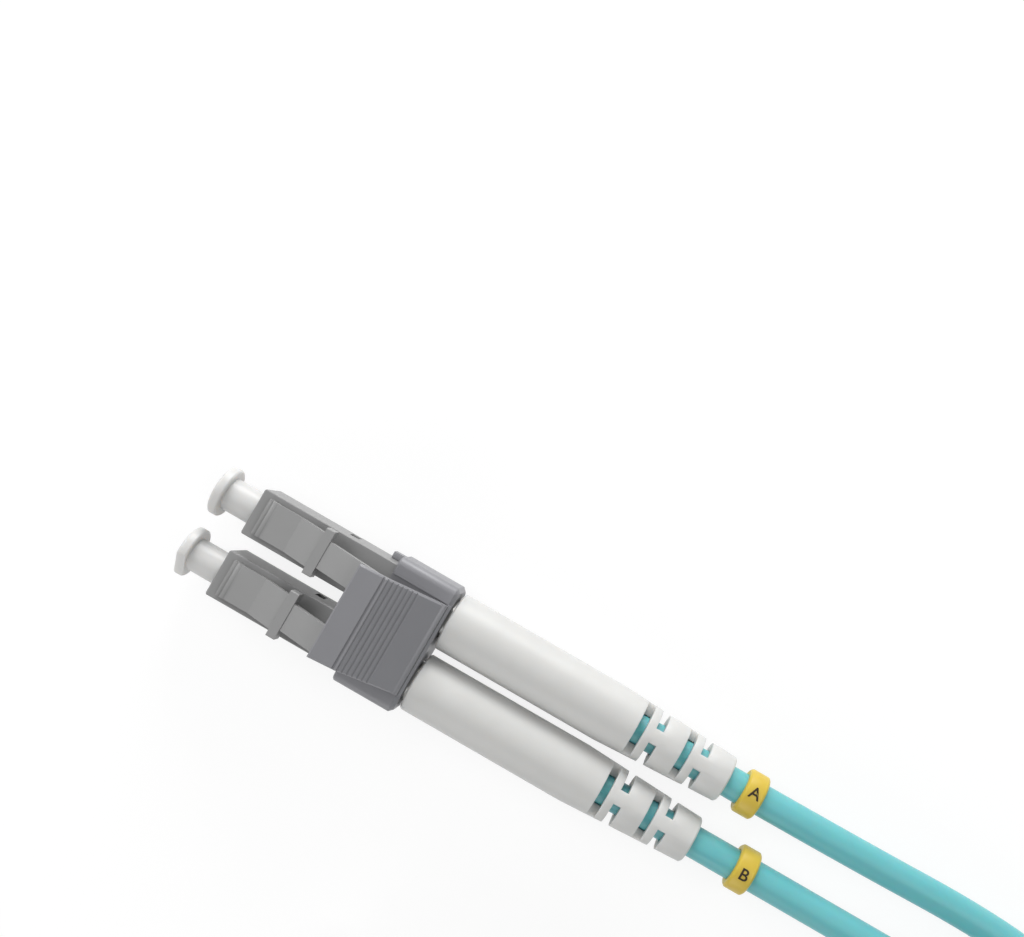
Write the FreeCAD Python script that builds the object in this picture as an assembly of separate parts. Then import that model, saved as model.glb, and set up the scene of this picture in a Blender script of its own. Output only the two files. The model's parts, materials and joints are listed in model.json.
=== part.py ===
import FreeCAD, Part

# LC duplex fibre patch cord, in millimetres, +Z up.
#
# A connector end is two simplex LC plugs side by side in a duplex clip. Each plug is described by its
# "depth", the distance behind the front face of its housing, and by its height over the ferrule axis.
# The origin lies on the flat underside of the first clip, which the connector stands on. +X points the
# way the plugs go into a port, +Y from channel A to channel B.
import math
import os

from FreeCAD import Vector

# ---------------------------------------------------------------- driving dimensions

CHANNEL_PITCH = 6.25       # between the two ferrule axes
AXIS_HEIGHT = 3.45         # ferrule axis over the clip's underside

# plug housing
HOUSING_SIZE = 4.5         # square section
HOUSING_LENGTH = 17.0
HOUSING_NOSE_CHAMFER = 0.15
HOUSING_EDGE_FILLET = 0.12
RECESS_DEPTH = 5.2         # round recess that a port's sleeve holder enters
SEPTUM_THICKNESS = 0.7     # wall between the recess and the ferrule chamber
SIDE_NOTCH_DEPTH_AT = 7.9
SIDE_NOTCH_LENGTH = 0.87
SIDE_NOTCH_HEIGHT = 0.75
SIDE_NOTCH_CUT = 0.35

# ferrule and its flange
FERRULE_DIAMETER = 1.25
FERRULE_PROTRUSION = 1.8   # ahead of the housing
FERRULE_TIP_CHAMFER = 0.12
FERRULE_SEAT_LENGTH = 2.0  # pressed into the flange
FERRULE_TRAVEL = 0.8
FLANGE_ACROSS_FLATS = 2.5
FLANGE_LENGTH = 2.7
FLANGE_STEM_DIAMETER = 1.5
FLANGE_STEM_LENGTH = 3.2

# spring behind the flange
SPRING_DIAMETER = 2.6
SPRING_WIRE = 0.34
SPRING_LENGTH = 4.0
SPRING_TURNS = 4
SPRING_END_GAP = 0.02

# rear body, crimp and cable
REAR_PLUG_DIAMETER = 3.5   # what is pressed into the housing
REAR_COLLAR_DIAMETER = 4.3
REAR_COLLAR_LENGTH = 0.9
CRIMP_STEM_DIAMETER = 2.4
CRIMP_STEM_LENGTH = 5.5
STEM_RIDGE_HEIGHT = 0.08
STEM_RIDGES = 2
YARN_THICKNESS = 0.25
CRIMP_WALL = 0.35
CRIMP_JACKET_LENGTH = 3.2  # the narrow end, over the cable's jacket
FIBRE_DIAMETER = 0.9
CABLE_DIAMETER = 2.9

# dust cap
CAP_BARREL_DIAMETER = 3.1
CAP_BARREL_VISIBLE = 3.1
CAP_BARREL_INSERTED = 4.6
CAP_FLANGE_DIAMETER = 4.7
CAP_FLANGE_THICKNESS = 0.9
CAP_FLAT_DISTANCE = 1.8    # of the flange's one flat from the axis
CAP_FLAT_ANGLES = {"a": -90.0, "b": 45.0}

# boot
BOOT_START = 19.9
BOOT_END = 48.5
BOOT_DIAMETER = 5.58
BOOT_TAPER_START = 36.4
BOOT_END_DIAMETER = 4.4
BOOT_EDGE_CHAMFER = 0.15
BOOT_SLOT_WIDTH = 0.78
BOOT_WEB_WIDTH = 1.36      # of the bridges that the slots leave
BOOT_TOP_SLOTS = (39.45, 43.97)
BOOT_SIDE_SLOTS = (41.25, 45.8)

# latch arm; its heights are over the housing's top face
LATCH_ROOT_START = 0.95
LATCH_PIVOT_DEPTH = 1.6
LATCH_PIVOT_RISE = 0.37
LATCH_KNUCKLE_RADIUS = 0.36
LATCH_WIDTH = 3.45
LATCH_RISE = 0.65          # of the flat front stretch
LATCH_THICKNESS = 0.4
LATCH_RAMP_START = 4.3
LUG_START = 7.0
LUG_LENGTH = 0.85
LUG_SPAN = 4.5             # tip to tip
LUG_RISE = 2.35
LUG_HEIGHT = 1.5
LUG_EDGE_FILLET = 0.12
RAMP_STEP = 0.4            # of the lugs' top over the ramp ahead of them
TAIL_STEP = 0.1            # and over the arm behind them
ARM_WIDTH = 2.6            # behind the lugs
ARM_THICKNESS = 0.75
ARM_END_DEPTH = 13.3
ARM_END_RISE = 4.45
ARM_END_ROUNDING = 0.4

# duplex clip and its trigger; the heights of the trigger and its pocket are over the housing's top
CLIP_START = 13.6
CLIP_END = 19.65
CLIP_WALL = 0.9            # outside the housing
CLIP_RISE = 0.65
CLIP_SHOULDER_RADIUS = 0.8
CLIP_FLOOR_RADIUS = 2.3
CLIP_END_CHAMFER = 0.35
CLIP_FRONT_CHAMFER = 0.15
CLIP_MOUTH_WIDTH = 3.4     # of the slot under each plug, which it snaps in through
CLIP_POCKET_RISE = 0.39    # of the floor under the trigger
POCKET_CLEARANCE = 0.1     # beside the trigger
CLIP_TAB_LENGTH = 1.3      # ahead of the clip, beside each housing
CLIP_TAB_REACH = 0.6
CLIP_TAB_HEIGHT = 1.3
TRIGGER_START = 11.65
TRIGGER_WIDTH = 9.0
TRIGGER_FRONT_RISE = 5.85
TRIGGER_BEND_DEPTH = 14.3  # where the plate turns steeper
TRIGGER_BEND_RISE = 5.0
TRIGGER_THICKNESS = 0.74
TRIGGER_EDGE_CHAMFER = 0.15
TRIGGER_PIVOT_DEPTH = 18.95
TRIGGER_PIVOT_RISE = 0.95
TRIGGER_KNUCKLE_RADIUS = 0.42
GROOVE_COUNT = 8
GROOVE_PITCH = 0.41
GROOVE_WIDTH = 0.2
GROOVE_DEPTH = 0.16
GROOVES_START = 13.85

# marker ring on each cable
RING_DIAMETER = 4.2
RING_WIDTH = 1.95
RING_EDGE_CHAMFER = 0.2
RING_MOUTH = 2.0           # the gap that it clips on through
RING_DEPTHS = {"a": 51.1, "b": 53.8}
FAR_RING_DEPTH = 51.1

# clearances
RUNNING_FIT = 0.03         # round pivots, ferrule in cap, fibre in stem
LOOSE_FIT = 0.07           # cap in recess, ferrule in septum
SLIP_FIT = 0.04            # plug in clip, boot on crimp

# cable route: the far connector is a copy of the first, beside it, and the unused length is a coil
FAR_END_SETBACK = 30.6
COIL_DEPTH = 98.8          # of the coil's centre
COIL_RADIUS = 14.5         # of the middle turns, which both cables enter by
COIL_TURNS_ACROSS = 3
COIL_TURNS_HIGH = 4
COIL_LIFT = 0.3            # of the turns over the floor, on the tie's thickness
TIE_WIDTH = 5.0
TIE_CLEARANCE = 0.35
TIE_ANGLE = 220.0          # where round the coil the tie is

# Each free cable from its first run, which goes on along its channel's axis, as (depth, y, height
# over the floor). Both cables meet at the coil, one on top of the other.
NEAR_RUN_END = 60.0
NEAR_RUNS = {
    "a": ((77.0, -3.4, 2.3), (87.0, -1.7, 1.75), (96.0, 0.0, 1.76)),
    "b": ((77.0, 3.1, 3.7), (87.0, 1.6, 4.55), (96.0, 0.0, 4.75)),
}
FAR_RUN_END = 55.0
FAR_RUNS = {               # told from the far connector
    "a": ((59.8, -2.0, 4.5), (65.2, 0.0, 4.75), (70.8, 0.0, 4.75)),
    "b": ((59.8, 2.0, 2.2), (65.2, 0.0, 1.76), (70.8, 0.0, 1.76)),
}

# ---------------------------------------------------------------- worked-out dimensions

CLIP_WIDTH = CHANNEL_PITCH + HOUSING_SIZE + 2 * CLIP_WALL
FRONT_X = (CLIP_START + CLIP_END) / 2
COIL_CENTRE = Vector(FRONT_X - COIL_DEPTH, COIL_RADIUS, 0)
COIL_INNER = COIL_RADIUS - COIL_TURNS_ACROSS * CABLE_DIAMETER / 2
COIL_OUTER = COIL_RADIUS + COIL_TURNS_ACROSS * CABLE_DIAMETER / 2
FAR_END_SHIFT = Vector(-FAR_END_SETBACK, COIL_RADIUS + COIL_OUTER - CABLE_DIAMETER / 2, 0)
COIL_HEIGHT = COIL_TURNS_HIGH * CABLE_DIAMETER
CHANNELS = {"a": -CHANNEL_PITCH / 2, "b": CHANNEL_PITCH / 2}
HOUSING_TOP = HOUSING_SIZE / 2
LATCH_PIVOT_HEIGHT = HOUSING_TOP + LATCH_PIVOT_RISE
LATCH_TOP = HOUSING_TOP + LATCH_RISE
LUG_TOP = HOUSING_TOP + LUG_RISE
ARM_END_TOP = HOUSING_TOP + ARM_END_RISE
CLIP_TOP = HOUSING_TOP + CLIP_RISE
CLIP_POCKET_FLOOR = HOUSING_TOP + CLIP_POCKET_RISE
TRIGGER_FRONT_TOP = HOUSING_TOP + TRIGGER_FRONT_RISE
TRIGGER_BEND_TOP = HOUSING_TOP + TRIGGER_BEND_RISE
TRIGGER_PIVOT_HEIGHT = HOUSING_TOP + TRIGGER_PIVOT_RISE
TRIGGER_REAR_TOP = TRIGGER_PIVOT_HEIGHT + TRIGGER_KNUCKLE_RADIUS
X_BACK = Vector(-1, 0, 0)


def at(depth, y=0.0, height=0.0):
    """A point from its depth behind the housing's front face and its height over the ferrule axis."""
    return Vector(FRONT_X - depth, y, AXIS_HEIGHT + height)


def rod(diameter, start, end, y):
    """A cylinder along a ferrule axis, between two depths."""
    return Part.makeCylinder(diameter / 2, end - start, at(start, y), X_BACK)


def block(start, end, y_low, y_high, low, high):
    """A box between two depths, two y values and two heights."""
    corner = at(end, y_low, low)
    return Part.makeBox(end - start, y_high - y_low, high - low, corner)


def side_profile(points, y_low, y_high):
    """A prism along Y from (depth, height) corners."""
    corners = [at(depth, y_low, height) for depth, height in points]
    face = Part.Face(Part.makePolygon(corners + corners[:1]))
    return face.extrude(Vector(0, y_high - y_low, 0))


def cross_rod(radius, depth, height, y_low, y_high):
    """A cylinder along Y, such as a hinge knuckle."""
    return Part.makeCylinder(radius, y_high - y_low, at(depth, y_low, height), Vector(0, 1, 0))


def turned(outline, y):
    """A body of revolution about a ferrule axis from (depth, radius) corners."""
    corners = [at(depth, y, radius) for depth, radius in outline]
    face = Part.Face(Part.makePolygon(corners + corners[:1]))
    return face.revolve(at(0, y), Vector(1, 0, 0), 360)


def edges_at_depth(shape, depth, tolerance=1e-4):
    """The edges of a shape that lie wholly at one depth."""
    x = FRONT_X - depth
    return [e for e in shape.Edges
            if abs(e.BoundBox.XMin - x) < tolerance and abs(e.BoundBox.XMax - x) < tolerance]


def solid(shape):
    """The shape as one clean solid."""
    shape = shape.removeSplitter()
    if len(shape.Solids) != 1 or not shape.isValid():
        raise ValueError(f"{len(shape.Solids)} solids, and one sound solid was expected")
    return shape.Solids[0]


# ---------------------------------------------------------------- plug

SEPTUM_END = RECESS_DEPTH + SEPTUM_THICKNESS
FLANGE_END = SEPTUM_END + FLANGE_LENGTH
SPRING_END = FLANGE_END + SPRING_LENGTH
STEM_START = HOUSING_LENGTH + REAR_COLLAR_LENGTH
STEM_END = STEM_START + CRIMP_STEM_LENGTH
CHAMBER_DIAMETER = FLANGE_ACROSS_FLATS / math.cos(math.radians(30)) + 2 * LOOSE_FIT
YARN_DIAMETER = CRIMP_STEM_DIAMETER + 2 * (STEM_RIDGE_HEIGHT + YARN_THICKNESS)
CRIMP_DIAMETER = YARN_DIAMETER + 2 * CRIMP_WALL
CRIMP_END = STEM_END + CRIMP_JACKET_LENGTH


def plug_housing(y):
    """The square front body, with the recess, the ferrule chamber and the latch's root block."""
    half = HOUSING_SIZE / 2
    body = block(0, HOUSING_LENGTH, y - half, y + half, -half, half)
    body = body.makeChamfer(HOUSING_NOSE_CHAMFER, edges_at_depth(body, 0))
    long_edges = [e for e in body.Edges if e.BoundBox.XLength > HOUSING_LENGTH / 2]
    body = body.makeFillet(HOUSING_EDGE_FILLET, long_edges)
    bevel = 0.2
    root = side_profile([(LATCH_ROOT_START, half - 0.3), (LATCH_ROOT_START, LATCH_TOP - bevel),
                         (LATCH_ROOT_START + bevel, LATCH_TOP), (LATCH_PIVOT_DEPTH, LATCH_TOP),
                         (LATCH_PIVOT_DEPTH, half - 0.3)],
                        y - LATCH_WIDTH / 2, y + LATCH_WIDTH / 2)
    body = body.fuse(root)
    reach = LATCH_WIDTH / 2 + 0.1
    socket = cross_rod(LATCH_KNUCKLE_RADIUS + RUNNING_FIT, LATCH_PIVOT_DEPTH, LATCH_PIVOT_HEIGHT,
                       y - reach, y + reach)
    recess = CAP_BARREL_DIAMETER / 2 + LOOSE_FIT
    ferrule_way = FERRULE_DIAMETER / 2 + LOOSE_FIT
    chamber, rear = CHAMBER_DIAMETER / 2, REAR_PLUG_DIAMETER / 2
    bore = turned([(-1, 0), (-1, recess), (RECESS_DEPTH, recess), (RECESS_DEPTH, ferrule_way),
                   (SEPTUM_END, ferrule_way), (SEPTUM_END, chamber), (SPRING_END, chamber),
                   (SPRING_END, rear), (HOUSING_LENGTH + 1, rear), (HOUSING_LENGTH + 1, 0)], y)
    cuts = [socket, bore]
    for side in (-1, 1):
        outer, inner = side * (half + 1), side * (half - SIDE_NOTCH_CUT)
        cuts.append(block(SIDE_NOTCH_DEPTH_AT, SIDE_NOTCH_DEPTH_AT + SIDE_NOTCH_LENGTH,
                          y + min(outer, inner), y + max(outer, inner),
                          -half - 1, -half + SIDE_NOTCH_HEIGHT))
    return solid(body.cut(cuts))


def latch_arm(y):
    """The springy arm over the housing: root knuckle, flat stretch, ramp, two lugs and a free end."""
    flat_bottom = LATCH_TOP - LATCH_THICKNESS
    lug_end = LUG_START + LUG_LENGTH
    tail_top = LUG_TOP - TAIL_STEP
    tail_bottom = tail_top - ARM_THICKNESS
    front = side_profile([(LATCH_PIVOT_DEPTH, LATCH_PIVOT_HEIGHT - 0.05),
                          (LATCH_PIVOT_DEPTH, LATCH_TOP - 0.02),
                          (LATCH_PIVOT_DEPTH + 0.45, LATCH_TOP), (LATCH_RAMP_START, LATCH_TOP),
                          (LUG_START, LUG_TOP - RAMP_STEP), (lug_end, tail_top),
                          (lug_end, tail_bottom), (LATCH_RAMP_START + 0.3, flat_bottom)],
                         y - LATCH_WIDTH / 2, y + LATCH_WIDTH / 2)
    knuckle = cross_rod(LATCH_KNUCKLE_RADIUS, LATCH_PIVOT_DEPTH, LATCH_PIVOT_HEIGHT,
                        y - LATCH_WIDTH / 2, y + LATCH_WIDTH / 2)
    tail = side_profile([(lug_end, tail_top), (ARM_END_DEPTH - ARM_END_ROUNDING, ARM_END_TOP),
                         (ARM_END_DEPTH, ARM_END_TOP - ARM_END_ROUNDING / 2),
                         (ARM_END_DEPTH, ARM_END_TOP - ARM_END_ROUNDING),
                         (ARM_END_DEPTH - ARM_END_ROUNDING, ARM_END_TOP - ARM_THICKNESS),
                         (lug_end, tail_bottom)],
                        y - ARM_WIDTH / 2, y + ARM_WIDTH / 2)
    lugs = block(LUG_START, LUG_START + LUG_LENGTH, y - LUG_SPAN / 2, y + LUG_SPAN / 2,
                 LUG_TOP - LUG_HEIGHT, LUG_TOP)
    lug_edges = [e for e in lugs.Edges if e.BoundBox.YLength < 0.01
                 and e.BoundBox.XLength > 0.5]
    lugs = lugs.makeFillet(LUG_EDGE_FILLET, lug_edges)
    return solid(front.fuse([knuckle, tail, lugs]))


def ferrule(y):
    """The ceramic rod that holds the glass, with its tip bevelled."""
    radius = FERRULE_DIAMETER / 2
    rear = SEPTUM_END + FERRULE_SEAT_LENGTH
    tip = -FERRULE_PROTRUSION
    outline = [(tip, 0), (tip, radius - FERRULE_TIP_CHAMFER), (tip + 2 * FERRULE_TIP_CHAMFER, radius),
               (rear, radius), (rear, 0)]
    return solid(turned(outline, y))


def ferrule_flange(y):
    """The six-sided metal flange with the stem that runs through the spring."""
    radius = FLANGE_ACROSS_FLATS / 2 / math.cos(math.radians(30))
    corners = [at(SEPTUM_END, y + radius * math.cos(math.radians(60 * i)),
                  radius * math.sin(math.radians(60 * i))) for i in range(6)]
    hexagon = Part.Face(Part.makePolygon(corners + corners[:1])).extrude(X_BACK * FLANGE_LENGTH)
    stem = rod(FLANGE_STEM_DIAMETER, FLANGE_END, FLANGE_END + FLANGE_STEM_LENGTH, y)
    seat = rod(FERRULE_DIAMETER, SEPTUM_END, SEPTUM_END + FERRULE_SEAT_LENGTH, y)
    fibre_way = rod(FIBRE_DIAMETER + 2 * RUNNING_FIT, SEPTUM_END + FERRULE_SEAT_LENGTH,
                    FLANGE_END + FLANGE_STEM_LENGTH, y)
    return solid(hexagon.fuse(stem).cut([seat, fibre_way]))


def ferrule_spring(y):
    """The coil spring between the flange and the rear body."""
    room = SPRING_LENGTH - 2 * SPRING_END_GAP - SPRING_WIRE
    radius = (SPRING_DIAMETER - SPRING_WIRE) / 2
    helix = Part.makeHelix(room / SPRING_TURNS, room, radius)
    corners = [Vector(radius + SPRING_WIRE / 2 * math.cos(math.radians(90 * i)), 0,
                      SPRING_WIRE / 2 * math.sin(math.radians(90 * i))) for i in range(4)]
    wire_end = Part.makePolygon(corners + corners[:1])
    spring = Part.Wire(helix).makePipeShell([wire_end], True, True)
    spring.rotate(Vector(0, 0, 0), Vector(0, 1, 0), -90)
    spring.translate(at(FLANGE_END + SPRING_END_GAP + SPRING_WIRE / 2, y))
    return solid(spring)


def rear_body(y):
    """The body pressed into the housing from behind, with a collar and a ridged crimp stem."""
    stem_radius = CRIMP_STEM_DIAMETER / 2
    outline = [(SPRING_END, REAR_PLUG_DIAMETER / 2), (HOUSING_LENGTH, REAR_PLUG_DIAMETER / 2),
               (HOUSING_LENGTH, REAR_COLLAR_DIAMETER / 2), (STEM_START, REAR_COLLAR_DIAMETER / 2),
               (STEM_START, stem_radius)]
    ridge_pitch = CRIMP_STEM_LENGTH / (STEM_RIDGES + 1)
    for i in range(1, STEM_RIDGES + 1):
        middle = STEM_START + i * ridge_pitch
        outline += [(middle - 0.2, stem_radius), (middle, stem_radius + STEM_RIDGE_HEIGHT),
                    (middle + 0.2, stem_radius)]
    spring_stem_end = FLANGE_END + FLANGE_STEM_LENGTH + FERRULE_TRAVEL + 0.3
    way = FIBRE_DIAMETER / 2 + RUNNING_FIT
    stem_way = FLANGE_STEM_DIAMETER / 2 + LOOSE_FIT
    outline += [(STEM_END, stem_radius), (STEM_END, way), (spring_stem_end, way),
                (spring_stem_end, stem_way), (SPRING_END, stem_way)]
    return solid(turned(outline, y))


def aramid_yarn(y):
    """The cable's strength yarn, spread over the crimp stem."""
    inner = CRIMP_STEM_DIAMETER + 2 * STEM_RIDGE_HEIGHT
    start = STEM_START + 0.3
    return solid(rod(YARN_DIAMETER, start, STEM_END, y).cut(rod(inner, start, STEM_END, y)))


def crimp_sleeve(y):
    """The metal sleeve squeezed over the yarn, with a narrow end on the cable's jacket."""
    start = STEM_START + 0.3
    jacket = CABLE_DIAMETER / 2
    outline = [(start, YARN_DIAMETER / 2), (start, CRIMP_DIAMETER / 2),
               (STEM_END, CRIMP_DIAMETER / 2), (STEM_END + 0.3, jacket + CRIMP_WALL),
               (CRIMP_END, jacket + CRIMP_WALL), (CRIMP_END, jacket), (STEM_END, jacket),
               (STEM_END, YARN_DIAMETER / 2)]
    return solid(turned(outline, y))


def cable_end(y):
    """The prepared end of the cable: bare buffered fibre ahead, then the jacket as far as the boot."""
    fibre, jacket = FIBRE_DIAMETER / 2, CABLE_DIAMETER / 2
    start = SEPTUM_END + FERRULE_SEAT_LENGTH + FERRULE_TRAVEL + 0.1
    outline = [(start, 0), (start, fibre), (STEM_END + 0.1, fibre), (STEM_END + 0.1, jacket),
               (BOOT_END, jacket), (BOOT_END, 0)]
    return solid(turned(outline, y))


def dust_cap(y, flat_angle):
    """The push-on cap over the ferrule, with a round grip flange that has one flat."""
    bore = FERRULE_DIAMETER / 2 + RUNNING_FIT
    flange_front = -CAP_BARREL_VISIBLE - CAP_FLANGE_THICKNESS
    flange_back = -CAP_BARREL_VISIBLE
    barrel = CAP_BARREL_DIAMETER / 2
    rim = CAP_FLANGE_DIAMETER / 2
    bevel = 0.12
    blind_end = -FERRULE_PROTRUSION - 0.3
    outline = [(flange_front, 0), (flange_front, rim - bevel), (flange_front + bevel, rim),
               (flange_back - bevel, rim), (flange_back, rim - bevel), (flange_back, barrel),
               (CAP_BARREL_INSERTED - bevel, barrel), (CAP_BARREL_INSERTED, barrel - bevel),
               (CAP_BARREL_INSERTED, bore), (blind_end, bore), (blind_end, 0)]
    cap = turned(outline, y)
    waste = block(flange_front - 1, flange_back, y - 5, y + 5, CAP_FLAT_DISTANCE, 5)
    waste.rotate(at(0, y), Vector(1, 0, 0), flat_angle - 90)
    return solid(cap.cut(waste))


def boot(y, slotted=True):
    """The strain-relief boot: straight over the crimp, then tapered, with alternate slots."""
    front, end = BOOT_DIAMETER / 2, BOOT_END_DIAMETER / 2
    wide = CRIMP_DIAMETER / 2 + SLIP_FIT
    narrow = CABLE_DIAMETER / 2 + 0.12
    step = CRIMP_END + 0.3
    edge = BOOT_EDGE_CHAMFER
    outline = [(BOOT_START, wide), (BOOT_START, front - edge), (BOOT_START + edge, front),
               (BOOT_TAPER_START, front), (BOOT_END - edge, end), (BOOT_END, end - edge),
               (BOOT_END, narrow), (step, narrow), (step, wide)]
    body = turned(outline, y)
    if not slotted:
        return solid(body)
    half, web, far = BOOT_SLOT_WIDTH / 2, BOOT_WEB_WIDTH / 2, BOOT_DIAMETER
    cuts = []
    for side in (-1, 1):
        low, high = sorted((side * web, side * far))
        cuts += [block(d - half, d + half, y - far, y + far, low, high) for d in BOOT_TOP_SLOTS]
        cuts += [block(d - half, d + half, y + low, y + high, -far, far) for d in BOOT_SIDE_SLOTS]
    return solid(body.cut(cuts))


def marker_ring(y, depth):
    """The clip-on ring that tells the channel, open underneath."""
    outer, inner = RING_DIAMETER / 2, CABLE_DIAMETER / 2 + 0.01
    start, end, edge = depth - RING_WIDTH / 2, depth + RING_WIDTH / 2, RING_EDGE_CHAMFER
    outline = [(start, inner), (start, outer - edge), (start + edge, outer),
               (end - edge, outer), (end, outer - edge), (end, inner)]
    mouth = block(start - 1, end + 1, y - RING_MOUTH / 2, y + RING_MOUTH / 2, -outer - 1, 0)
    ring = turned(outline, y).cut([mouth, rod(2 * inner, start, end, y)])
    return solid(ring)


# ---------------------------------------------------------------- duplex clip and trigger

def top_rim(plate):
    """The front and side edges of the trigger plate's upper face."""
    rim = []
    for edge in plate.Edges:
        middle = edge.CenterOfMass
        depth = FRONT_X - middle.x
        on_top = abs(middle.z - AXIS_HEIGHT - trigger_top(depth)) < 1e-6
        in_front = depth < TRIGGER_START + 0.01
        along = edge.BoundBox.YLength < 0.01
        if on_top and (in_front or along):
            rim.append(edge)
    return rim


def trigger_top(depth):
    """The height of the trigger's upper face."""
    if depth < TRIGGER_BEND_DEPTH:
        slope = (TRIGGER_FRONT_TOP - TRIGGER_BEND_TOP) / (TRIGGER_BEND_DEPTH - TRIGGER_START)
    else:
        slope = (TRIGGER_BEND_TOP - TRIGGER_REAR_TOP) / (TRIGGER_PIVOT_DEPTH - TRIGGER_BEND_DEPTH)
    return TRIGGER_BEND_TOP + (TRIGGER_BEND_DEPTH - depth) * slope


def clip_body():
    """The clip's rounded block, with its ends' edges taken off."""
    body = block(CLIP_START, CLIP_END, -CLIP_WIDTH / 2, CLIP_WIDTH / 2, -AXIS_HEIGHT, CLIP_TOP)
    low = [e for e in body.Edges if e.BoundBox.XLength > 1 and e.BoundBox.ZMax < AXIS_HEIGHT]
    body = body.makeFillet(CLIP_FLOOR_RADIUS, low)
    top = AXIS_HEIGHT + CLIP_TOP - 0.01
    high = [e for e in body.Edges if e.BoundBox.XLength > 1 and e.BoundBox.ZMin > top]
    body = body.makeFillet(CLIP_SHOULDER_RADIUS, high)
    body = body.makeChamfer(CLIP_END_CHAMFER, edges_at_depth(body, CLIP_END))
    return body.makeChamfer(CLIP_FRONT_CHAMFER, edges_at_depth(body, CLIP_START))


def duplex_clip():
    """The clip that holds both plugs, with a pocket for the trigger and a mouth under each plug."""
    body = clip_body()
    grip = HOUSING_SIZE / 2 + SLIP_FIT
    tab_low = -HOUSING_SIZE / 2 + 0.5
    for sign in (-1, 1):
        inner = CHANNEL_PITCH / 2 + grip
        low, high = sorted((sign * inner, sign * (inner + CLIP_TAB_REACH)))
        body = body.fuse(block(CLIP_START - CLIP_TAB_LENGTH, CLIP_START + 0.5, low, high,
                               tab_low, tab_low + CLIP_TAB_HEIGHT))
    pocket = TRIGGER_WIDTH / 2 + POCKET_CLEARANCE
    body = body.fuse(side_profile([(TRIGGER_PIVOT_DEPTH, CLIP_POCKET_FLOOR),
                                   (TRIGGER_PIVOT_DEPTH, TRIGGER_REAR_TOP), (CLIP_END, CLIP_TOP),
                                   (CLIP_END, CLIP_POCKET_FLOOR)], -pocket, pocket))
    cuts = [
        block(CLIP_START - 1, TRIGGER_PIVOT_DEPTH, -pocket, pocket, CLIP_POCKET_FLOOR,
              TRIGGER_FRONT_TOP),
        cross_rod(TRIGGER_KNUCKLE_RADIUS + RUNNING_FIT, TRIGGER_PIVOT_DEPTH, TRIGGER_PIVOT_HEIGHT,
                  -pocket, pocket),
    ]
    for y in CHANNELS.values():
        cuts += [
            block(CLIP_START - 1, HOUSING_LENGTH + SLIP_FIT, y - grip, y + grip, -grip, grip),
            rod(REAR_COLLAR_DIAMETER + 2 * SLIP_FIT, CLIP_START, CLIP_END + 1, y),
            block(CLIP_START - 1, CLIP_END + 1, y - CLIP_MOUTH_WIDTH / 2, y + CLIP_MOUTH_WIDTH / 2,
                  -AXIS_HEIGHT - 1, 0),
        ]
    return solid(body.cut(cuts))


def trigger(grooved=True):
    """The sloping thumb plate that presses both latch arms, grooved across its upper face."""
    half = TRIGGER_WIDTH / 2
    rear_bottom = TRIGGER_PIVOT_HEIGHT - TRIGGER_KNUCKLE_RADIUS + RUNNING_FIT
    plate = side_profile([(TRIGGER_START, TRIGGER_FRONT_TOP - TRIGGER_THICKNESS),
                          (TRIGGER_START, TRIGGER_FRONT_TOP),
                          (TRIGGER_BEND_DEPTH, TRIGGER_BEND_TOP),
                          (TRIGGER_PIVOT_DEPTH, TRIGGER_REAR_TOP),
                          (TRIGGER_PIVOT_DEPTH, rear_bottom),
                          (TRIGGER_BEND_DEPTH, TRIGGER_BEND_TOP - TRIGGER_THICKNESS)],
                         -half, half)
    plate = plate.makeChamfer(TRIGGER_EDGE_CHAMFER, top_rim(plate))
    knuckle = cross_rod(TRIGGER_KNUCKLE_RADIUS, TRIGGER_PIVOT_DEPTH, TRIGGER_PIVOT_HEIGHT,
                        -half, half)
    plate = plate.fuse(knuckle)
    grooves = []
    for i in range(GROOVE_COUNT if grooved else 0):
        depth = GROOVES_START + i * GROOVE_PITCH
        low = trigger_top(depth) - GROOVE_DEPTH
        grooves.append(block(depth, depth + GROOVE_WIDTH, -half - 1, half + 1, low, low + 1))
    return solid(plate.cut(grooves) if grooves else plate)


# ---------------------------------------------------------------- cables

def tube(points, diameter):
    """A tube along straight runs joined by tangent arcs, each as large as its two runs allow."""
    edges, start, radii = [], points[0], []
    for before, corner, after in zip(points, points[1:], points[2:]):
        back, ahead = before - corner, after - corner
        half_turn = (math.pi - back.getAngle(ahead)) / 2
        reach = 0.45 * min(back.Length, ahead.Length)
        radius = reach / math.tan(half_turn)
        radii.append(radius)
        first = corner + back.normalize() * reach
        last = corner + ahead.normalize() * reach
        inward = (back + ahead).normalize()
        middle = corner + inward * (radius / math.cos(half_turn) - radius)
        edges.append(Part.LineSegment(start, first).toShape())
        edges.append(Part.Arc(first, middle, last).toShape())
        start = last
    edges.append(Part.LineSegment(start, points[-1]).toShape())
    path = Part.Wire(edges)
    along = (points[1] - points[0]).normalize()
    section = Part.Wire(Part.makeCircle(diameter / 2, points[0], along))
    pipe = solid(path.makePipeShell([section], True, False))
    expected = math.pi * diameter ** 2 / 4 * path.Length
    print(f"tube: length {path.Length:.1f}, smallest radius {min(radii):.1f},"
          f" volume over section times length {pipe.Volume / expected:.4f}")
    return pipe


def cable_run(channel, first_run_end, route, shift):
    """One free cable, from its boot to the coil."""
    first_run = [(depth, CHANNELS[channel], AXIS_HEIGHT) for depth in (BOOT_END, first_run_end)]
    points = [Vector(FRONT_X - depth, y, height) + shift
              for depth, y, height in (*first_run, *route)]
    return tube(points, CABLE_DIAMETER)


def cable_coil():
    """The outer shape of the coil that both cables lie in."""
    base = COIL_CENTRE + Vector(0, 0, COIL_LIFT)
    outside = Part.makeCylinder(COIL_OUTER, COIL_HEIGHT, base)
    return solid(outside.cut(Part.makeCylinder(COIL_INNER, COIL_HEIGHT, base)))


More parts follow.
